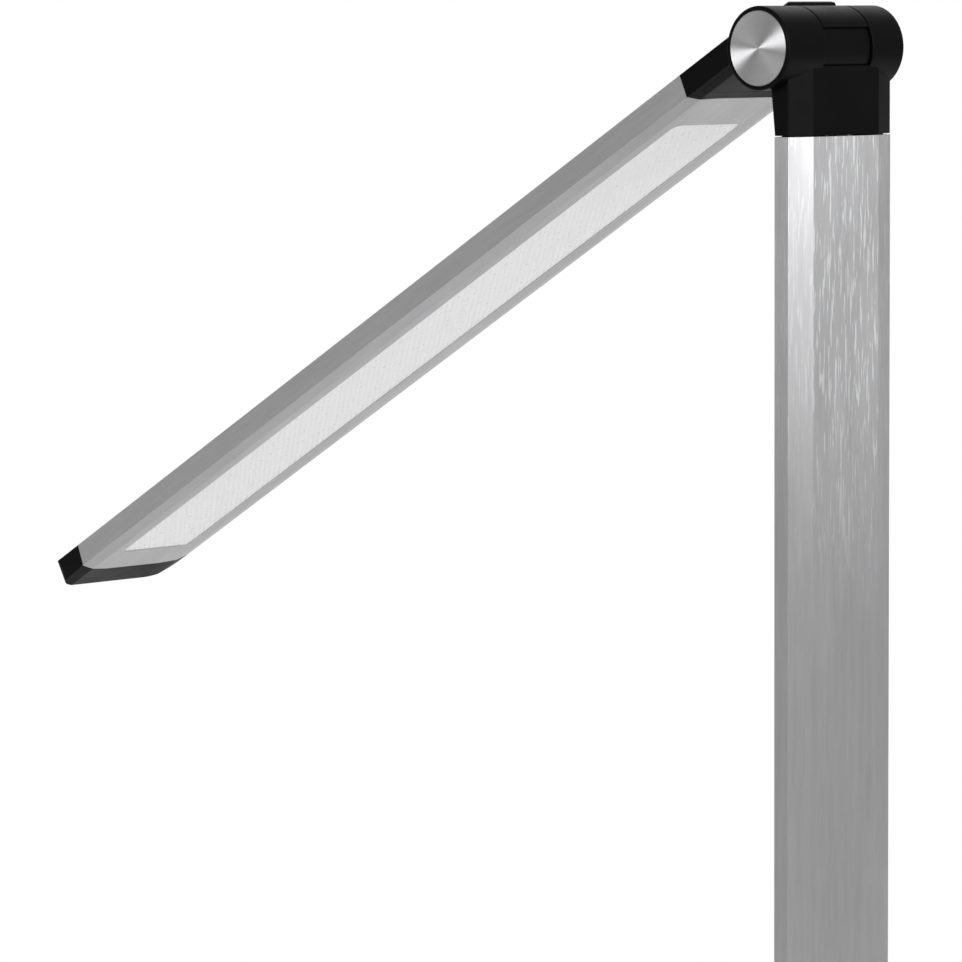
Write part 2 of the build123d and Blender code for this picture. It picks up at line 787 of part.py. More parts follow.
with BuildPart() as base_screws:
    with BuildSketch(level(footHeight + slackFit, 0)):
        with GridLocations(2 * bossXY[0], 2 * bossXY[1], 2, 2):
            Circle(caseScrewHead)
    extrude(amount=screwSeatDepth - slackFit - closeFit)
    with BuildSketch(level(footHeight + screwSeatDepth / 2, 0)):
        with GridLocations(2 * bossXY[0], 2 * bossXY[1], 2, 2):
            Circle(caseScrewRadius)
    extrude(amount=caseScrewLength)
keep(base_screws.part, "base_screws", steel)

with BuildPart() as base_weight:
    with BuildSketch(level(weightLow, weightY)):
        RectangleRounded(weightWidth, weightDepth, weightCorner)
    extrude(amount=weightHigh - weightLow)
    with BuildSketch(level(weightLow)):
        with GridLocations(2 * flangeBoltX, 2 * flangeBoltY, 2, 2):
            Circle(flangeBoltRadius + closeFit)
    extrude(amount=weightHigh - weightLow, mode=Mode.SUBTRACT)
    with BuildSketch(level(weightLow, -baseDepth / 2)):
        with Locations((jackX, 0)):
            Rectangle(inletNotchWidth, inletNotchDepth)
    extrude(amount=weightHigh - weightLow, mode=Mode.SUBTRACT)
keep(base_weight.part, "base_weight", steel)

with BuildPart() as rubber_pad:
    with BuildSketch(level(0, 0)):
        RectangleRounded(baseWidth - 2 * padInset, baseDepth - 2 * padInset, baseCorner - padInset)
    extrude(amount=footHeight)
    chamfer(rubber_pad.faces().sort_by(Axis.Z)[0].edges(), padEdge)
keep(rubber_pad.part, "rubber_pad", black)

with BuildPart() as base_knuckle:
    with BuildSketch(barrel(lowerHinge, -drumWidth / 2)):
        Circle(drumRadius)
        with Locations((0, -neckHeight / 2)):
            Rectangle(2 * neckHalfY, neckHeight)
    extrude(amount=drumWidth)
    with BuildSketch(level(weightHigh + layerGap)):
        RectangleRounded(flangeWidth, flangeDepth, flangeCorner)
    extrude(amount=flangeTop - weightHigh - layerGap)
    with BuildSketch(barrel(lowerHinge, -drumWidth / 2)):
        Circle(pinRadius + pinClearance)
    extrude(amount=drumWidth, mode=Mode.SUBTRACT)
    with BuildSketch(level(weightHigh)):
        with GridLocations(2 * flangeBoltX, 2 * flangeBoltY, 2, 2):
            Circle(flangeBoltRadius + closeFit)
    extrude(amount=flangeTop, mode=Mode.SUBTRACT)
    with BuildSketch(level(weightHigh)):
        with Locations((0, wireExit)):
            Circle(wireExitRadius)
    extrude(amount=lowerAxis + drumRadius, mode=Mode.SUBTRACT)
keep(base_knuckle.part, "base_knuckle", black)

with BuildPart() as knuckle_screws:
    with BuildSketch(level(flangeTop)):
        with GridLocations(2 * flangeBoltX, 2 * flangeBoltY, 2, 2):
            Circle(flangeHeadRadius)
    extrude(amount=flangeHeadThick)
    with BuildSketch(level(flangeTop)):
        with GridLocations(2 * flangeBoltX, 2 * flangeBoltY, 2, 2):
            Circle(flangeBoltRadius)
    extrude(amount=weightLow - flangeTop)
keep(knuckle_screws.part, "knuckle_screws", steel)

with BuildPart() as control_board:
    with BuildSketch(level(boardLow, buttonY)):
        with Locations((buttonX + boardShiftX, boardShiftY)):
            Rectangle(boardLong, boardWide)
    extrude(amount=boardTop - boardLow)
keep(control_board.part, "control_board", green)

with BuildPart() as button_switch:
    with BuildSketch(level(boardTop, buttonY)):
        with Locations((buttonX, 0)):
            Rectangle(switchSide, switchSide)
    extrude(amount=switchThick)
    with BuildSketch(level(boardTop, buttonY)):
        with Locations((buttonX, 0)):
            Circle(plungerRadius)
    extrude(amount=plungerTop)
keep(button_switch.part, "button_switch", steel)

with BuildPart() as power_button:
    with BuildSketch(level(buttonLow, buttonY)):
        with Locations((buttonX, 0)):
            Circle(buttonRadius)
    extrude(amount=buttonTop - buttonLow)
    fillet(power_button.faces().sort_by(Axis.Z)[-1].edges(), buttonEdge)
    with BuildSketch(level(buttonLow, buttonY)):
        with Locations((buttonX, 0)):
            Circle(buttonRadius + buttonRim)
    extrude(amount=buttonRimThick)
keep(power_button.part, "power_button", silver)

with BuildPart() as power_inlet:
    rearFace = Plane(origin=(jackX, -baseDepth / 2, jackZ), x_dir=(1, 0, 0), z_dir=(0, -1, 0))
    with BuildSketch(rearFace):
        Circle(jackCollar)
    extrude(amount=-baseWall - 2 * slackFit)
    with BuildSketch(rearFace.offset(-baseWall - slackFit)):
        Rectangle(jackBodyWidth, jackBodyHeight)
    extrude(amount=-jackBodyLength)
    with BuildSketch(rearFace):
        Circle(jackBore)
    extrude(amount=-jackDepth, mode=Mode.SUBTRACT)
    with BuildSketch(rearFace.offset(-jackPin)):
        Circle(jackPin)
    extrude(amount=-jackDepth)
keep(power_inlet.part, "power_inlet", black)
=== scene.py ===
import json
import math

import bpy
import bmesh
from mathutils import Matrix, Vector


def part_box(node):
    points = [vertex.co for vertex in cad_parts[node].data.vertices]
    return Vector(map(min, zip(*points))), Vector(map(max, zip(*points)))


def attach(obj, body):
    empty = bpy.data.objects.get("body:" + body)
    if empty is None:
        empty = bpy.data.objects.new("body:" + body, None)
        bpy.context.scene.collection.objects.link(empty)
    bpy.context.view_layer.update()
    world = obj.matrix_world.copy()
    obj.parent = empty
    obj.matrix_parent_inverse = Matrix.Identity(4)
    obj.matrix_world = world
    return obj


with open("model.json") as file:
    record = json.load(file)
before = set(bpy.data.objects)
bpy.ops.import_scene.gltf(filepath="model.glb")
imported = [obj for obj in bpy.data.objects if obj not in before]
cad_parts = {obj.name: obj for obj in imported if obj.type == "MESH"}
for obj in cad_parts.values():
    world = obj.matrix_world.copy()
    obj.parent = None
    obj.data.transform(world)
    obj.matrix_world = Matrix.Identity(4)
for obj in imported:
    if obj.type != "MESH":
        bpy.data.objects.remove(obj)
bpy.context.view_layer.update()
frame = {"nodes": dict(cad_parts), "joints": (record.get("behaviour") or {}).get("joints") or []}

nodes = frame["nodes"]
joints = {joint["name"]: joint for joint in frame["joints"]}
upperHinge = Vector(joints["arm_tilt"]["pos_m"])
lowerHinge = Vector(joints["post_tilt"]["pos_m"])
print("frame loaded:", len(nodes), "cad nodes")

# how the lamp stands: the arm hangs below the horizontal, in the plane across the hinge barrels
lamp = {
    "armDrop": 29.6,  # degrees below the horizontal
    "windowStart": 0.0554,  # along the arm from the hinge axis
    "windowEnd": 0.3898,
    "windowWidth": 0.033,
    "windowCorner": 0.0035,
    "lensUnderside": 0.0024,  # above the hinge axis, square to the arm
}
armDrop = math.radians(lamp["armDrop"])
armAlong = Vector((0, math.cos(armDrop), -math.sin(armDrop)))
armUp = Vector((0, math.sin(armDrop), math.cos(armDrop)))


def armPoint(x, along, up):
    return Vector((x, 0, 0)) + upperHinge + armAlong * along + armUp * up


noiseSpan = (0.3, 0.7)  # nearly all noise values lie between these


# small helpers for node trees
def addNode(tree, kind, place=(0, 0), **settings):
    node = tree.nodes.new(kind)
    node.location = place
    for name, value in settings.items():
        setattr(node, name, value)
    return node


def feed(tree, socket, value):
    if isinstance(value, bpy.types.NodeSocket):
        tree.links.new(value, socket)
    else:
        socket.default_value = value


def calc(tree, operation, first, second=None, third=None):
    node = addNode(tree, "ShaderNodeMath", operation=operation)
    for socket, value in zip(node.inputs, (first, second, third)):
        if value is not None:
            feed(tree, socket, value)
    return node.outputs[0]


def vectorCalc(tree, operation, first, second=None):
    node = addNode(tree, "ShaderNodeVectorMath", operation=operation)
    feed(tree, node.inputs[0], first)
    if second is not None:
        feed(tree, node.inputs[1], second)
    return node.outputs["Value" if operation in ("DOT_PRODUCT", "LENGTH") else "Vector"]


def remap(tree, value, low, high, newLow=0.0, newHigh=1.0, smooth=False):
    node = addNode(tree, "ShaderNodeMapRange", interpolation_type="SMOOTHSTEP" if smooth else "LINEAR")
    feed(tree, node.inputs["Value"], value)
    node.inputs["From Min"].default_value = low
    node.inputs["From Max"].default_value = high
    node.inputs["To Min"].default_value = newLow
    node.inputs["To Max"].default_value = newHigh
    return node.outputs["Result"]


def noise(tree, vector, scale=1.0, detail=2.0, roughness=0.5):
    node = addNode(tree, "ShaderNodeTexNoise")
    feed(tree, node.inputs["Vector"], vector)
    feed(tree, node.inputs["Scale"], scale)
    node.inputs["Detail"].default_value = detail
    node.inputs["Roughness"].default_value = roughness
    return node.outputs["Fac"]


def blendColour(tree, share, first, second):
    node = addNode(tree, "ShaderNodeMix", data_type="RGBA")
    feed(tree, node.inputs[0], share)
    feed(tree, node.inputs[6], first)
    feed(tree, node.inputs[7], second)
    return node.outputs[2]


def newGroup(name, inputs, outputs):
    tree = bpy.data.node_groups.new(name, "ShaderNodeTree")
    for label, kind, value in inputs:
        socket = tree.interface.new_socket(name=label, in_out="INPUT", socket_type=kind)
        socket.default_value = value
    for label, kind in outputs:
        tree.interface.new_socket(name=label, in_out="OUTPUT", socket_type=kind)
    start = addNode(tree, "NodeGroupInput", (-900, 0))
    end = addNode(tree, "NodeGroupOutput", (900, 0))
    return tree, start, end


def useGroup(tree, group, **values):
    node = addNode(tree, "ShaderNodeGroup", (-500, 0), node_tree=group)
    for label, value in values.items():
        feed(tree, node.inputs[label], value)
    return node.outputs


# long grain: streaks drawn out along one direction in the side plane of the lamp
grainLook = {
    "across": 1500.0,  # streaks per metre, roughly
    "along": 95.0,
    "wideScale": 0.31,
    "fineShare": 0.55,
    "glintStreakScale": 0.9,
    "glintStreakFrom": 0.55,
    "glintStreakFull": 0.63,
    "cloudStretch": (70.0, 14.0, 70.0),
}


def buildLongGrain():
    tree, start, end = newGroup(
        "longGrain",
        [
            ("Tilt", "NodeSocketFloat", 0.0),
            ("Across", "NodeSocketFloat", grainLook["across"]),
            ("Along", "NodeSocketFloat", grainLook["along"]),
        ],
        [("Streak", "NodeSocketFloat"), ("GlintStreak", "NodeSocketFloat"), ("Cloud", "NodeSocketFloat")],
    )
    place = addNode(tree, "ShaderNodeTexCoord").outputs["Object"]
    turn = addNode(tree, "ShaderNodeVectorRotate", rotation_type="X_AXIS")
    feed(tree, turn.inputs["Vector"], place)
    feed(tree, turn.inputs["Angle"], start.outputs["Tilt"])
    stretch = addNode(tree, "ShaderNodeCombineXYZ")
    feed(tree, stretch.inputs[0], start.outputs["Across"])
    feed(tree, stretch.inputs[1], start.outputs["Along"])
    feed(tree, stretch.inputs[2], start.outputs["Across"])
    drawn = vectorCalc(tree, "MULTIPLY", turn.outputs[0], stretch.outputs[0])
    fine = noise(tree, drawn, 1.0, 2.0, 0.6)
    wide = noise(tree, drawn, grainLook["wideScale"], 1.0)
    fineShare = grainLook["fineShare"]
    streak = calc(tree, "MULTIPLY_ADD", fine, fineShare, calc(tree, "MULTIPLY", wide, 1 - fineShare))
    feed(tree, end.inputs["Streak"], streak)
    # dashes that place the painted highlight streaks on the brushed metal
    dashes = noise(tree, drawn, grainLook["glintStreakScale"], 2.0, 0.6)
    glintStreakMask = remap(tree, dashes, grainLook["glintStreakFrom"], grainLook["glintStreakFull"], smooth=True)
    feed(tree, end.inputs["GlintStreak"], glintStreakMask)
    patches = vectorCalc(tree, "MULTIPLY", turn.outputs[0], grainLook["cloudStretch"])
    feed(tree, end.inputs["Cloud"], noise(tree, patches, 1.0, 2.0))
    return tree


# ring grain: turning marks round a centre
ringLook = {"rings": 3000.0, "sectors": 2.2}


def buildRingGrain():
    tree, start, end = newGroup(
        "ringGrain",
        [("Centre", "NodeSocketVector", (0, 0, 0)), ("Rings", "NodeSocketFloat", ringLook["rings"])],
        [("Ring", "NodeSocketFloat"), ("Sector", "NodeSocketFloat")],
    )
    place = addNode(tree, "ShaderNodeTexCoord").outputs["Object"]
    offset = vectorCalc(tree, "SUBTRACT", place, start.outputs["Centre"])
    away = vectorCalc(tree, "LENGTH", offset)
    ringPlace = addNode(tree, "ShaderNodeCombineXYZ")
    feed(tree, ringPlace.inputs[0], calc(tree, "MULTIPLY", away, start.outputs["Rings"]))
    feed(tree, end.inputs["Ring"], noise(tree, ringPlace.outputs[0], 1.0, 3.0, 0.65))
    around = vectorCalc(tree, "NORMALIZE", offset)
    feed(tree, end.inputs["Sector"], noise(tree, around, ringLook["sectors"], 3.0, 0.6))
    return tree


# moulded skin: fine spark texture with slow changes of sheen
skinLook = {"grain": 2600.0, "rub": 55.0}


def buildMouldedSkin():
    tree, start, end = newGroup(
        "mouldedSkin",
        [("Grain", "NodeSocketFloat", skinLook["grain"])],
        [("Height", "NodeSocketFloat"), ("Rub", "NodeSocketFloat")],
    )
    place = addNode(tree, "ShaderNodeTexCoord").outputs["Object"]
    feed(tree, end.inputs["Height"], noise(tree, place, start.outputs["Grain"], 2.0, 0.6))
    feed(tree, end.inputs["Rub"], noise(tree, place, skinLook["rub"], 3.0, 0.55))
    return tree


# settled dust: a mask that is strongest on faces that look up
dustLook = {"amount": 0.3, "upwardFrom": 0.3, "specks": 900.0, "speckFrom": 0.45, "speckFull": 0.75}


def buildSettledDust():
    tree, start, end = newGroup(
        "settledDust",
        [("Amount", "NodeSocketFloat", dustLook["amount"])],
        [("Dust", "NodeSocketFloat")],
    )
    place = addNode(tree, "ShaderNodeTexCoord")
    split = addNode(tree, "ShaderNodeSeparateXYZ")
    feed(tree, split.inputs[0], place.outputs["Normal"])
    upward = remap(tree, split.outputs[2], dustLook["upwardFrom"], 1.0, smooth=True)
    specks = noise(tree, place.outputs["Object"], dustLook["specks"], 3.0, 0.7)
    speck = remap(tree, specks, dustLook["speckFrom"], dustLook["speckFull"])
    dust = calc(tree, "MULTIPLY", calc(tree, "MULTIPLY", upward, speck), start.outputs["Amount"])
    feed(tree, end.inputs["Dust"], dust)
    return tree


longGrain = buildLongGrain()
ringGrain = buildRingGrain()
mouldedSkin = buildMouldedSkin()
settledDust = buildSettledDust()
print("node groups built")


def newMaterial(name, **fixed):
    material = bpy.data.materials.new(name)
    material.use_nodes = True
    tree = material.node_tree
    tree.nodes.clear()
    shader = addNode(tree, "ShaderNodeBsdfPrincipled", (300, 0))
    output = addNode(tree, "ShaderNodeOutputMaterial", (600, 0))
    feed(tree, output.inputs["Surface"], shader.outputs[0])
    for label, value in fixed.items():
        shader.inputs[label].default_value = value
    return material, tree, shader


def bump(tree, shader, height, distance):
    node = addNode(tree, "ShaderNodeBump", (50, -300))
    node.inputs["Strength"].default_value = 1.0
    node.inputs["Distance"].default_value = distance
    feed(tree, node.inputs["Height"], height)
    feed(tree, shader.inputs["Normal"], node.outputs[0])


def worldDirection(tree, vector):
    node = addNode(tree, "ShaderNodeVectorTransform", vector_type="VECTOR")
    node.convert_from = "OBJECT"
    node.convert_to = "WORLD"
    feed(tree, node.inputs[0], vector)
    return node.outputs[0]


aluminium = {
    "pale": (0.70, 0.70, 0.71, 1),
    "deep": (0.52, 0.52, 0.53, 1),
    "roughLow": 0.32,
    "roughHigh": 0.44,
    "anisotropy": 0.8,
    "grooveDepth": 0.00006,
    # colour of the painted highlight streaks
    "glintColour": (0.95, 0.95, 0.96, 1),
    "glintElsewhere": 0.25,  # share of the painted highlight streaks on faces that don't look backward
    "backwardFrom": 0.95,
    "backwardFull": 0.99,
    "postGlint": (0.9, 0.26, 0.38),  # strength of the painted highlight streaks, heights where they begin and are full
    "armGlint": (0.04, 0.1, 0.2),
}


def brushedAluminium(name, tilt, grainDirection, glintBand):
    # grainDirection is the way the brush ran, in the lamp's frame
    material, tree, shader = newMaterial(name, Metallic=1.0, Anisotropic=aluminium["anisotropy"])
    grain = useGroup(tree, longGrain, Tilt=tilt)
    colour = blendColour(tree, grain["Streak"], aluminium["deep"], aluminium["pale"])
    coordinates = addNode(tree, "ShaderNodeTexCoord")
    split = addNode(tree, "ShaderNodeSeparateXYZ")
    feed(tree, split.inputs[0], coordinates.outputs["Object"])
    # painted highlight: pale streaks high on the post and on faces that look backward, where the key
    # light falls
    glintStrength, glintFrom, glintFull = glintBand
    glintByHeight = remap(tree, split.outputs[2], glintFrom, glintFull, 0.0, glintStrength, smooth=True)
    backward = vectorCalc(tree, "DOT_PRODUCT", coordinates.outputs["Normal"], (0.0, -1.0, 0.0))
    edges = aluminium["backwardFrom"], aluminium["backwardFull"]
    glintByFacing = remap(tree, backward, *edges, aluminium["glintElsewhere"], 1.0)
    glintShare = calc(tree, "MULTIPLY", grain["GlintStreak"], calc(tree, "MULTIPLY", glintByHeight, glintByFacing))
    colour = blendColour(tree, glintShare, colour, aluminium["glintColour"])
    feed(tree, shader.inputs["Base Color"], colour)
    rough = remap(tree, grain["Cloud"], *noiseSpan, aluminium["roughLow"], aluminium["roughHigh"])
    feed(tree, shader.inputs["Roughness"], rough)
    bump(tree, shader, grain["Streak"], aluminium["grooveDepth"])
    face = addNode(tree, "ShaderNodeNewGeometry").outputs["Normal"]
    across = vectorCalc(tree, "CROSS_PRODUCT", face, worldDirection(tree, tuple(grainDirection)))
    feed(tree, shader.inputs["Tangent"], across)
    return material


spun = {
    "pale": (0.70, 0.70, 0.71, 1),
    "deep": (0.65, 0.65, 0.66, 1),
    "rough": (0.46, 0.52),
    "anisotropy": 1.0,
    "grooveDepth": 0.000003,
}


def spunAluminium(name, centre):
    material, tree, shader = newMaterial(name, Metallic=1.0, Anisotropic=spun["anisotropy"])
    rings = useGroup(tree, ringGrain, Centre=tuple(centre))
    colour = blendColour(tree, rings["Ring"], spun["deep"], spun["pale"])
    feed(tree, shader.inputs["Base Color"], colour)
    rough = remap(tree, rings["Sector"], *noiseSpan, spun["rough"][0], spun["rough"][1])
    feed(tree, shader.inputs["Roughness"], rough)
    bump(tree, shader, rings["Ring"], spun["grooveDepth"])
    place = addNode(tree, "ShaderNodeTexCoord").outputs["Object"]
    outward = vectorCalc(tree, "SUBTRACT", place, tuple(centre))
    feed(tree, shader.inputs["Tangent"], worldDirection(tree, outward))
    return material


blackParts = {
    "pale": (0.0018, 0.0018, 0.0019, 1),
    "deep": (0.0008, 0.0008, 0.0009, 1),
    "dustColour": (0.10, 0.098, 0.096, 1),
    "rough": (0.34, 0.46),
    "gloss": 0.08,
    "grain": 2600.0,
    "grainDepth": 0.00002,
    "dust": 0.02,
    "dustRough": 0.4,
    "baseGrain": 1900.0,
    "baseDust": 0.25,
}


def satinBlack(name, grain=blackParts["grain"], dust=blackParts["dust"]):
    material, tree, shader = newMaterial(name)
    shader.inputs["Specular IOR Level"].default_value = blackParts["gloss"]
    skin = useGroup(tree, mouldedSkin, Grain=grain)
    dustMask = useGroup(tree, settledDust, Amount=dust)["Dust"]
    plain = blendColour(tree, skin["Rub"], blackParts["deep"], blackParts["pale"])
    feed(tree, shader.inputs["Base Color"], blendColour(tree, dustMask, plain, blackParts["dustColour"]))
    low, high = blackParts["rough"]
    rough = remap(tree, skin["Rub"], *noiseSpan, low, high)
    rough = calc(tree, "MULTIPLY_ADD", dustMask, blackParts["dustRough"], rough)
    feed(tree, shader.inputs["Roughness"], rough)
    bump(tree, shader, skin["Height"], blackParts["grainDepth"])
    return material


prisms = {
    "pitchAcross": 0.00244,
    "pitchAlong": 0.00177,
    "pointDepth": 0.00034,
    "valleyDepth": 0.00004,
    "edgeGap": 0.0001,
    "edgeSlope": 0.4,
    # share of painted shade in the valleys between the points
    "paintedValleyShade": 0.7,
    "reach": 0.6,  # cells whose middle lies further out than this many pitches are left out
}
acrylicLens = {
    "pale": (0.93, 0.93, 0.93, 1),
    "deep": (0.89, 0.89, 0.89, 1),
    "rough": (0.26, 0.34),
    # colour of the painted shade in the valleys between the points
    "valley": (0.66, 0.66, 0.66, 1),
    "index": 1.49,
    "grain": 420.0,
    "grainDepth": 0.000002,
    "paintedGlow": 0.25,  # painted glow standing in for light bounced up onto the lens
}


def prismaticAcrylic(name, valleyShadeShare=0.0):
    # the second argument: how much painted shade darkens the valleys between the points
    material, tree, shader = newMaterial(name, IOR=acrylicLens["index"])
    skin = useGroup(tree, mouldedSkin, Grain=acrylicLens["grain"])
    colour = blendColour(tree, skin["Rub"], acrylicLens["deep"], acrylicLens["pale"])
    place = addNode(tree, "ShaderNodeTexCoord").outputs["Object"]
    height = vectorCalc(tree, "DOT_PRODUCT", place, tuple(armUp))
    face = upperHinge.dot(armUp) + lamp["lensUnderside"]
    # painted shade: the valleys between the points are coloured darker by their depth
    valley = remap(tree, height, face - prisms["pointDepth"], face - prisms["valleyDepth"], 0.0, valleyShadeShare)
    colour = blendColour(tree, valley, colour, acrylicLens["valley"])
    feed(tree, shader.inputs["Base Color"], colour)
    low, high = acrylicLens["rough"]
    feed(tree, shader.inputs["Roughness"], remap(tree, skin["Height"], *noiseSpan, low, high))
    # painted glow: the lens gives off its own colour as light
    feed(tree, shader.inputs["Emission Color"], colour)
    shader.inputs["Emission Strength"].default_value = acrylicLens["paintedGlow"]
    bump(tree, shader, skin["Height"], acrylicLens["grainDepth"])
    return material


plastic = {"grain": 1800.0, "grainDepth": 0.00001, "roughSwing": 0.06}


def mouldedPlastic(name, pale, deep, rough, grain=plastic["grain"], depth=plastic["grainDepth"]):
    material, tree, shader = newMaterial(name)
    skin = useGroup(tree, mouldedSkin, Grain=grain)
    feed(tree, shader.inputs["Base Color"], blendColour(tree, skin["Rub"], deep, pale))
    low, high = rough - plastic["roughSwing"], rough + plastic["roughSwing"]
    feed(tree, shader.inputs["Roughness"], remap(tree, skin["Height"], *noiseSpan, low, high))
    bump(tree, shader, skin["Height"], depth)
    return material


zinc = {
    "deep": (0.42, 0.43, 0.44, 1),
    "pale": (0.60, 0.61, 0.62, 1),
    "rough": (0.25, 0.42),
    "grain": 1500.0,
    "grainDepth": 0.00001,
}


def zincSteel(name):
    material, tree, shader = newMaterial(name, Metallic=1.0)
    skin = useGroup(tree, mouldedSkin, Grain=zinc["grain"])
    feed(tree, shader.inputs["Base Color"], blendColour(tree, skin["Rub"], zinc["deep"], zinc["pale"]))
    feed(tree, shader.inputs["Roughness"], remap(tree, skin["Height"], *noiseSpan, *zinc["rough"]))
    bump(tree, shader, skin["Height"], zinc["grainDepth"])
    return material


solderMask = {
    "deep": (0.010, 0.070, 0.032, 1),
    "pale": (0.018, 0.105, 0.050, 1),
    "track": (0.03, 0.16, 0.08, 1),
    "trackScale": 160.0,
    "trackWidth": 0.035,
    "trackHeight": 0.00004,
    "rough": (0.28, 0.40),
    "grain": 1200.0,
}


def circuitBoard(name):
    # solder mask over copper tracks
    material, tree, shader = newMaterial(name)
    place = addNode(tree, "ShaderNodeTexCoord").outputs["Object"]
    tracks = addNode(tree, "ShaderNodeTexBrick")
    feed(tree, tracks.inputs["Vector"], place)
    tracks.inputs["Scale"].default_value = solderMask["trackScale"]
    tracks.inputs["Mortar Size"].default_value = solderMask["trackWidth"]
    skin = useGroup(tree, mouldedSkin, Grain=solderMask["grain"])
    mask = blendColour(tree, skin["Rub"], solderMask["deep"], solderMask["pale"])
    colour = blendColour(tree, tracks.outputs["Fac"], mask, solderMask["track"])
    feed(tree, shader.inputs["Base Color"], colour)
    feed(tree, shader.inputs["Roughness"], remap(tree, skin["Height"], *noiseSpan, *solderMask["rough"]))
    bump(tree, shader, tracks.outputs["Fac"], solderMask["trackHeight"])
    return material


postGrain = Vector((0, 0, 1))
postTilt = math.radians(-90)
postAluminium = brushedAluminium("postBrushedAluminium", postTilt, postGrain, aluminium["postGlint"])
armAluminium = brushedAluminium("armBrushedAluminium", armDrop, armAlong, aluminium["armGlint"])
upperSpun = spunAluminium("upperSpunAluminium", upperHinge)
lowerSpun = spunAluminium("lowerSpunAluminium", lowerHinge)
hingeBlack = satinBlack("hingeSatinBlack")
baseBlack = satinBlack("baseFineBlack", blackParts["baseGrain"], blackParts["baseDust"])
acrylic = prismaticAcrylic("prismaticAcrylic")
acrylicPointsPaintedShade = prismaticAcrylic("prismaticPointsPaintedShade", prisms["paintedValleyShade"])
steelParts = zincSteel("zincSteel")
# pale colour, deep colour, roughness of the small moulded pieces
moulded = {
    "reflectorWhite": ((0.90, 0.90, 0.88, 1), (0.82, 0.82, 0.80, 1), 0.45),
    "boardWhite": ((0.86, 0.86, 0.83, 1), (0.76, 0.76, 0.73, 1), 0.35),
    "phosphorYellow": ((0.86, 0.72, 0.24, 1), (0.74, 0.58, 0.15, 1), 0.25),
    "wireInsulation": ((0.42, 0.05, 0.03, 1), (0.30, 0.03, 0.02, 1), 0.40),
    "padRubber": ((0.030, 0.030, 0.030, 1), (0.014, 0.014, 0.014, 1), 0.75, 900.0, 0.00006),
}
reflectorWhite, boardWhite, phosphor, wireRed, padRubber = [
    mouldedPlastic(name, *look) for name, look in moulded.items()
]
boardGreen = circuitBoard("boardGreen")
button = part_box("power_button")
buttonCentre = (button[0] + button[1]) / 2
buttonSpun = spunAluminium("buttonSpunAluminium", buttonCentre)

finishes = {
    "post_extrusion": postAluminium,
    "arm_extrusion": armAluminium,
    "heat_spreader": armAluminium,
    "upper_left_disc": upperSpun,
    "upper_right_disc": upperSpun,
    "lower_left_disc": lowerSpun,
    "lower_right_disc": lowerSpun,
    "power_button": buttonSpun,
    "base_cover": baseBlack,
    "prismatic_lens": acrylic,
    "diffuser_sheet": reflectorWhite,
    "reflector_tray": reflectorWhite,
    "led_board": boardWhite,
    "led_chips": phosphor,
    "post_wires": wireRed,
    "arm_wires": wireRed,
    "rubber_pad": padRubber,
    "control_board": boardGreen,
}
blackNodes = (
    "hinge_head",
    "post_foot",
    "arm_bracket",
    "bracket_cover",
    "tip_cap",
    "base_knuckle",
    "power_inlet",
)
for name, node in nodes.items():
    finish = finishes.get(name, hingeBlack if name in blackNodes else steelParts)
    if not node.material_slots:
        node.data.materials.append(finish)
    for slot in node.material_slots:
        slot.material = finish
print("finishes on", len(nodes), "cad nodes")

# prismatic relief on the light window: staggered six sided points on a thin sheet
middle = (lamp["windowStart"] + lamp["windowEnd"]) / 2
halfWide = lamp["windowWidth"] / 2 - prisms["edgeGap"]
halfLong = (lamp["windowEnd"] - lamp["windowStart"]) / 2 - prisms["edgeGap"]


def clampToWindow(x, along):
    # nearest place inside the rounded window
    corner = lamp["windowCorner"]
    coreX = max(-halfWide + corner, min(halfWide - corner, x))
    coreY = max(-halfLong + corner, min(halfLong - corner, along - middle))
    out = Vector((x - coreX, along - middle - coreY))
    if out.length > corner:
        out = out.normalized() * corner
    return coreX + out.x, coreY + out.y + middle


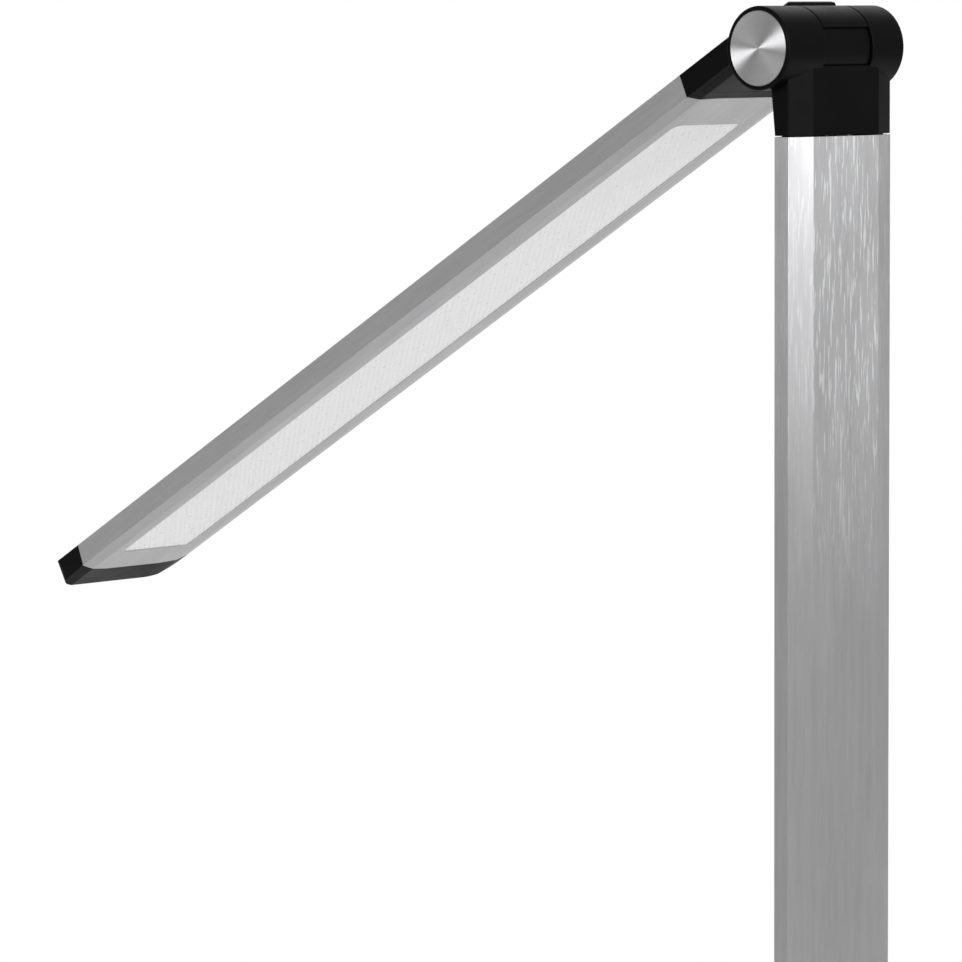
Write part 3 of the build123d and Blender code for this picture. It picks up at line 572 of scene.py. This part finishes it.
def buildLensPrisms():
    across = prisms["pitchAcross"]
    row = prisms["pitchAlong"]
    shoulder = (row ** 2 - across ** 2 / 4) / (2 * row)  # where three cells meet
    ring = [
        (across / 2, -shoulder),
        (across / 2, shoulder),
        (0, row - shoulder),
        (-across / 2, shoulder),
        (-across / 2, -shoulder),
        (0, shoulder - row),
    ]
    valley = lamp["lensUnderside"] - prisms["valleyDepth"]
    mesh = bmesh.new()
    known = {}

    def corner(x, along, up):
        key = (round(x * 1e6), round(along * 1e6), round(up * 1e6))
        if key not in known:
            known[key] = mesh.verts.new(armPoint(x, along, up))
        return known[key]

    rows = int((lamp["windowEnd"] - lamp["windowStart"]) / row) + 2
    columns = int(lamp["windowWidth"] / across / 2) + 2
    for line in range(rows):
        along = lamp["windowStart"] + line * row
        for column in range(-columns, columns + 1):
            x = (column + 0.5 * (line % 2)) * across
            insideX, insideAlong = clampToWindow(x, along)
            if math.hypot(insideX - x, insideAlong - along) > prisms["reach"] * across:
                continue
            toEdge = min(halfWide - abs(insideX), halfLong - abs(insideAlong - middle))
            depth = min(prisms["pointDepth"], prisms["valleyDepth"] + prisms["edgeSlope"] * toEdge)
            tip = corner(insideX, insideAlong, lamp["lensUnderside"] - depth)
            rim = [corner(*clampToWindow(x + dx, along + dy), valley) for dx, dy in ring]
            for first, second in zip(rim, rim[1:] + rim[:1]):
                if first is not second and tip not in (first, second):
                    if not mesh.faces.get((tip, first, second)):
                        mesh.faces.new((tip, first, second))
    rimEdges = [edge for edge in mesh.edges if edge.is_boundary]
    raised = bmesh.ops.extrude_edge_only(mesh, edges=rimEdges)["geom"]
    for vert in (item for item in raised if isinstance(item, bmesh.types.BMVert)):
        up = (vert.co - upperHinge).dot(armUp)
        vert.co += armUp * (lamp["lensUnderside"] - up)
    topEdges = [item for item in raised if isinstance(item, bmesh.types.BMEdge)]
    bmesh.ops.contextual_create(mesh, geom=topEdges)
    bmesh.ops.recalc_face_normals(mesh, faces=mesh.faces)
    data = bpy.data.meshes.new("lens_prisms")
    mesh.to_mesh(data)
    mesh.free()
    data.materials.append(acrylicPointsPaintedShade)
    sheet = bpy.data.objects.new("lens_prisms", data)
    bpy.context.scene.collection.objects.link(sheet)
    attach(sheet, "arm")
    return sheet


lensPrisms = buildLensPrisms()
print("lens prisms:", len(lensPrisms.data.polygons), "faces")

# table: a pale round sheet that fades out at its rim
table = {
    "radius": 0.80,
    "fadeFrom": 0.45,
    "spokes": 96,
    "deep": (0.88, 0.88, 0.88, 1),
    "pale": (0.92, 0.92, 0.92, 1),
    "rough": (0.55, 0.65),
    "shadeScale": 6.0,
}


def buildTable():
    mesh = bmesh.new()
    bmesh.ops.create_circle(mesh, cap_ends=True, radius=table["radius"], segments=table["spokes"])
    data = bpy.data.meshes.new("table")
    mesh.to_mesh(data)
    mesh.free()
    sheet = bpy.data.objects.new("table", data)
    bpy.context.scene.collection.objects.link(sheet)
    material, tree, shader = newMaterial("tableWhite")
    place = addNode(tree, "ShaderNodeTexCoord").outputs["Object"]
    away = vectorCalc(tree, "LENGTH", place)
    shade = noise(tree, place, table["shadeScale"], 2.0)
    feed(tree, shader.inputs["Base Color"], blendColour(tree, shade, table["deep"], table["pale"]))
    feed(tree, shader.inputs["Roughness"], remap(tree, shade, *noiseSpan, *table["rough"]))
    cover = remap(tree, away, table["fadeFrom"], table["radius"], 1.0, 0.0, smooth=True)
    feed(tree, shader.inputs["Alpha"], cover)
    data.materials.append(material)


buildTable()

# studio: pale surroundings and three softboxes
studio = {
    # height of the direction, brightness
    "levels": ((-0.45, 1.05), (-0.28, 0.40), (-0.12, 0.46), (0.0, 0.44), (0.5, 0.42)),
    "fromLeft": 0.95,
    "fromRight": 1.03,
    "aim": (0, 0, 0.45),  # key and rim look here, the side softbox at the upper hinge
    "keyPlace": (0.06, -1.20, 0.85),
    "keySize": (0.86, 1.06),
    "keyPower": 8.8,
    "rimPlace": (0.95, 0.55, 1.20),
    "rimSize": (0.8, 0.8),
    "rimPower": 1.4,
    "sidePlace": (-1.05, -0.27, 0.785),
    "sideSize": (0.5, 0.56),
    "sidePower": 6.0,
}


def buildSurroundings():
    world = bpy.data.worlds.new("studioWorld")
    bpy.context.scene.world = world
    world.use_nodes = True
    tree = world.node_tree
    tree.nodes.clear()
    direction = addNode(tree, "ShaderNodeTexCoord").outputs["Generated"]
    split = addNode(tree, "ShaderNodeSeparateXYZ")
    feed(tree, split.inputs[0], direction)
    height = split.outputs[2]
    level = studio["levels"][0][1]
    for (low, dull), (high, bright) in zip(studio["levels"], studio["levels"][1:]):
        level = calc(tree, "ADD", level, remap(tree, height, low, high, 0.0, bright - dull))
    sideways = remap(tree, split.outputs[0], -1.0, 1.0, studio["fromLeft"], studio["fromRight"])
    dim = addNode(tree, "ShaderNodeBackground")
    feed(tree, dim.inputs["Strength"], calc(tree, "MULTIPLY", level, sideways))
    dim.inputs["Color"].default_value = (1, 1, 1, 1)
    white = addNode(tree, "ShaderNodeBackground")
    white.inputs["Color"].default_value = (1, 1, 1, 1)
    seen = addNode(tree, "ShaderNodeLightPath").outputs["Is Camera Ray"]
    choose = addNode(tree, "ShaderNodeMixShader")
    feed(tree, choose.inputs[0], seen)
    feed(tree, choose.inputs[1], dim.outputs[0])
    feed(tree, choose.inputs[2], white.outputs[0])
    output = addNode(tree, "ShaderNodeOutputWorld")
    feed(tree, output.inputs["Surface"], choose.outputs[0])


def addSoftbox(name, place, size, power, target):
    data = bpy.data.lights.new(name, "AREA")
    data.shape = "RECTANGLE"
    data.size, data.size_y = size
    data.energy = power
    light = bpy.data.objects.new(name, data)
    light.location = place
    light.rotation_euler = (Vector(target) - Vector(place)).to_track_quat("-Z", "Y").to_euler()
    light.visible_camera = False
    bpy.context.scene.collection.objects.link(light)


buildSurroundings()
addSoftbox("keySoftbox", studio["keyPlace"], studio["keySize"], studio["keyPower"], studio["aim"])
addSoftbox("rimSoftbox", studio["rimPlace"], studio["rimSize"], studio["rimPower"], studio["aim"])
addSoftbox("sideSoftbox", studio["sidePlace"], studio["sideSize"], studio["sidePower"], upperHinge)

# camera: behind the post, a little above the hinge, long lens
view = {
    "place": (-1.1781, -1.0974, 0.4776),
    "heading": 45.994,  # degrees from +X towards +Y
    "downTilt": 5.496,
    "roll": 0.306,
    "lens": 179.92,
    "sensor": 36.0,
}


def buildCamera():
    heading = math.radians(view["heading"])
    tilt = math.radians(view["downTilt"])
    roll = math.radians(view["roll"])
    ahead = Vector((
        math.cos(heading) * math.cos(tilt),
        math.sin(heading) * math.cos(tilt),
        -math.sin(tilt),
    ))
    level = Vector((math.sin(heading), -math.cos(heading), 0))
    down = ahead.cross(level)
    right = level * math.cos(roll) + down * math.sin(roll)
    lower = down * math.cos(roll) - level * math.sin(roll)
    data = bpy.data.cameras.new("lampCamera")
    data.lens = view["lens"]
    data.sensor_width = view["sensor"]
    camera = bpy.data.objects.new("lampCamera", data)
    turned = Matrix((right, -lower, -ahead)).transposed().to_4x4()
    camera.matrix_world = Matrix.Translation(view["place"]) @ turned
    bpy.context.scene.collection.objects.link(camera)
    bpy.context.scene.camera = camera


buildCamera()
bpy.context.scene.view_settings.view_transform = "Standard"
print("studio and camera placed")
